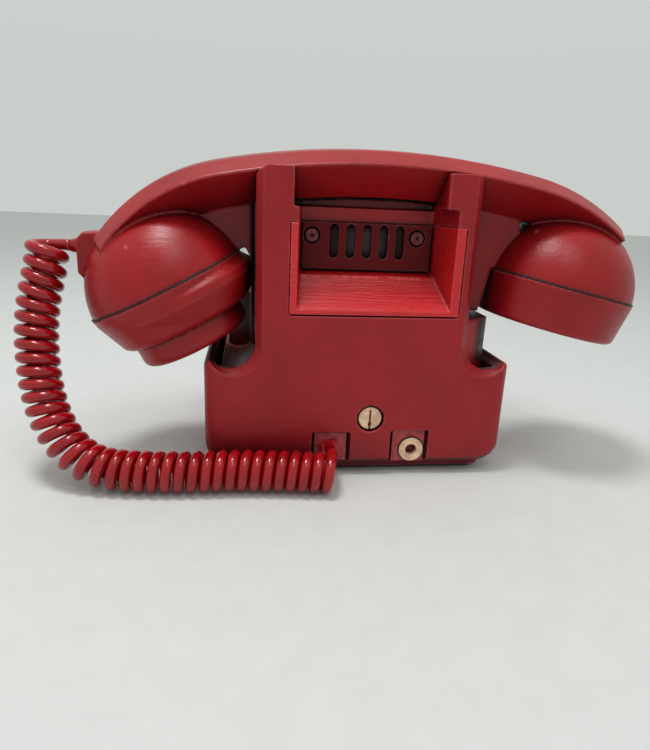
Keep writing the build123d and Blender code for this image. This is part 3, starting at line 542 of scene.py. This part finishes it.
def make_seams():
    """The dark gasket in the seam of each cup."""
    over = Vector((0.0, 1.0, 0.0))
    for name, (x, z, lean) in cups.items():
        turn = radians(lean)
        across = Vector((cos(turn), 0.0, -sin(turn)))
        out = Vector((sin(turn), 0.0, cos(turn)))
        centre = mm(x, handset_y, z) + out * gasket_rise * MM
        circle = ring_points(centre, across, over, seam_radius * MM)
        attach(ring_mesh(name + "_gasket", circle, gasket_radius * MM, SEAM_AND_SHADE_BLACK), "handset")


# The dark boards, the jack's rim ring and its floor are painted shade: dark pieces put where the gaps and
# the bore fall into shade.
board = 0.25 * MM  # how thick a dark board is, or half of it round a socket
board_bevel = 0.05 * MM
vent_margins = {"side": 7 * MM, "foot": 3 * MM, "top": 0.5 * MM}
socket_margins = {"side": 1.7 * MM, "foot": 0.2 * MM, "top": 1.6 * MM}
flange_depth = 1.6 * MM  # from a socket plate's front to its flange
rim_ring = {"depth": 0.75 * MM, "radius": 4.85 * MM, "thickness": 0.35 * MM}
jack_floor = {"depth": 2.2 * MM, "radius": 2.35 * MM, "thickness": 0.6 * MM}


def shade_board(name, low, high):
    """A dark board of painted shade behind a gap, with its edges bevelled, on the case."""
    mesh = bpy.data.meshes.new(name)
    form = bmesh.new()
    bmesh.ops.create_cube(form, size=1.0)
    for vertex in form.verts:
        vertex.co = Vector([a + (b - a) * (c + 0.5) for a, b, c in zip(low, high, vertex.co)])
    bmesh.ops.bevel(form, geom=form.edges[:], offset=board_bevel, segments=2, affect="EDGES")
    form.to_mesh(mesh)
    form.free()
    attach(new_object(name, mesh, SEAM_AND_SHADE_BLACK), "base")


def make_shade_boards():
    """Painted shade: dark boards behind the vent's slots and round the two sockets, and a dark ring and
    floor inside the jack.
    """
    low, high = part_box("vent_plate")
    side, foot, top = vent_margins.values()
    shade_board(
        "vent_shade_board",
        (low.x + side, low.y, low.z + foot),
        (high.x - side, low.y + board, high.z - top),
    )
    side, foot, top = socket_margins.values()
    for node in ("cord_socket_plate", "line_socket_plate"):
        low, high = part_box(node)
        flange = high.y - flange_depth
        shade_board(
            node.replace("plate", "gap"),
            (low.x + side, flange - board, low.z + foot),
            (high.x - side, flange + board, high.z - top),
        )
    low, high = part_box("line_jack")
    middle = (low + high) / 2
    across, over = Vector((1.0, 0.0, 0.0)), Vector((0.0, 0.0, 1.0))
    rim = Vector((middle.x, high.y - rim_ring["depth"], middle.z))
    circle = ring_points(rim, across, over, rim_ring["radius"])
    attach(ring_mesh("jack_rim", circle, rim_ring["thickness"], SEAM_AND_SHADE_BLACK), "base")
    bore = Vector((middle.x, high.y - jack_floor["depth"], middle.z))
    fan = [bore, *ring_points(bore, across, over, jack_floor["radius"], 48)]
    fan += [point - Vector((0, jack_floor["thickness"], 0)) for point in fan]
    count = len(fan) // 2
    faces = []
    for i in range(1, count):
        k = i % (count - 1) + 1
        faces += [(0, k, i), (count, count + i, count + k), (i, k, count + k, count + i)]
    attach(from_points("jack_inside", fan, faces, JACK_SHADE), "base")


dial_lean = radians(54.0)
dial_out = Vector((0.0, -sin(dial_lean), cos(dial_lean)))
dial_up = Vector((0.0, cos(dial_lean), sin(dial_lean)))
dial_across = Vector((1.0, 0.0, 0.0))
hole_circle = 24.8
first_hole, hole_step = 60.0, 27.0
digit_size = 6.6
digit_depth = 0.06
plate_half = 0.5  # half of the number plate's thickness


def make_digits():
    """The ten numbers on the dial's plate, each under its finger hole."""
    low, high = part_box("number_plate")
    plate_front = (low + high) / 2 + dial_out * plate_half * MM
    points, faces = [], []
    for step in range(10):
        turn = radians(first_hole + step * hole_step)
        text = bpy.data.curves.new("digit", "FONT")
        text.body = str((step + 1) % 10)
        text.align_x = "CENTER"
        text.align_y = "CENTER"
        text.size = digit_size * MM
        text.extrude = digit_depth * MM
        carrier = bpy.data.objects.new("digit", text)
        mesh = bpy.data.meshes.new_from_object(carrier)
        centre = plate_front + (dial_across * cos(turn) + dial_up * sin(turn)) * hole_circle * MM
        start = len(points)
        for vertex in mesh.vertices:
            across, up, out = vertex.co
            points.append(centre + dial_across * across + dial_up * up + dial_out * out)
        faces += [tuple(start + i for i in face.vertices) for face in mesh.polygons]
        bpy.data.objects.remove(carrier)
        bpy.data.meshes.remove(mesh)
        bpy.data.curves.remove(text)
    digits = from_points("dial_numbers", points, faces, BLACK_PLASTIC)
    for polygon in digits.data.polygons:
        polygon.use_smooth = False
    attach(digits, NODES["number_plate"]["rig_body"])


make_seams()
make_shade_boards()
make_digits()
make_mouldings()

finishes = {
    SHADED_VENT_RED: ["vent_screws"],
    BODY_RED: ["cord_socket_plate", "line_socket_plate", "dial_cap"],
    CORD_RED: ["cord_grommet", "cord_sleeve"],
    DIAL_BRASS: ["finger_wheel", "finger_stop"],
    BRASS: [
        "lock_plug", "line_jack", "gong_left", "gong_right", "main_gear", "governor",
        "switch_springs", "jack_contacts", "pulse_contacts",
    ],
    # The lock barrel is near-black as painted shade of the recess round the lock's plug.
    SEAM_AND_SHADE_BLACK: ["lock_barrel"],
    STEEL: [
        "base_screws", "ringer_frame", "bell_cores", "gong_screws", "clapper", "clapper_pin", "hook_pin",
        "hook_lever", "hook_bracket", "dial_shaft", "terminal_screws", "dial_spring", "capacitor",
        "receiver_capsule", "transmitter_capsule",
    ],
    PAD: ["base_pad", "bell_coils", "induction_coil", "terminal_block"],
    IVORY: ["hook_plungers"],
    ENAMEL: ["number_plate"],
    BLACK_PLASTIC: ["dial_case"],
}
for material, names in finishes.items():
    for name in names:
        NODES[name].data.materials.clear()
        NODES[name].data.materials.append(material)


# ---------------------------------------------------------------- floor and light
floor_reach = 2500.0
sky_stops = ((0.15, (0.72, 0.75, 0.72, 1.0)), (0.85, (0.86, 0.89, 0.86, 1.0)))  # height's share, colour
sky_strength = 0.82
light_aim = mm(0, 20, 60)
lights = {  # place, size in metres, watts
    "overhead": (mm(150, 80, 800), 0.20, 3.2),
    "window": (mm(-60, 420, 760), 0.30, 0.9),
}


def make_floor():
    """The pale table that the telephone stands on."""
    corners = ((-1, 1), (1, 1), (1, -1), (-1, -1))
    points = [mm(x * floor_reach, y * floor_reach, 0) for x, y in corners]
    from_points("floor", points, [(0, 3, 2, 1)], PALE)


def make_sky():
    """A pale room all round, a little brighter above."""
    world = bpy.data.worlds.new("studio")
    bpy.context.scene.world = world
    world.use_nodes = True
    sky = world.node_tree
    height = sky.nodes.new("ShaderNodeSeparateXYZ")
    sky.links.new(sky.nodes.new("ShaderNodeTexCoord").outputs["Generated"], height.inputs["Vector"])
    shade = sky.nodes.new("ShaderNodeValToRGB")
    for element, (place, colour) in zip(shade.color_ramp.elements, sky_stops):
        element.position = place
        element.color = colour
    sky.links.new(height.outputs["Z"], shade.inputs["Fac"])
    sky.links.new(shade.outputs["Color"], sky.nodes["Background"].inputs["Color"])
    sky.nodes["Background"].inputs["Strength"].default_value = sky_strength


def make_lights():
    """Two soft round lights from above."""
    for name, (place, size, power) in lights.items():
        data = bpy.data.lights.new(name, "AREA")
        data.shape = "DISK"
        data.size = size
        data.energy = power
        light = bpy.data.objects.new(name, data)
        bpy.context.scene.collection.objects.link(light)
        turned = (light_aim - place).to_track_quat("-Z", "Y").to_matrix().to_4x4()
        light.matrix_world = Matrix.Translation(place) @ turned


make_floor()
make_sky()
make_lights()
bpy.context.scene.view_settings.view_transform = "Standard"
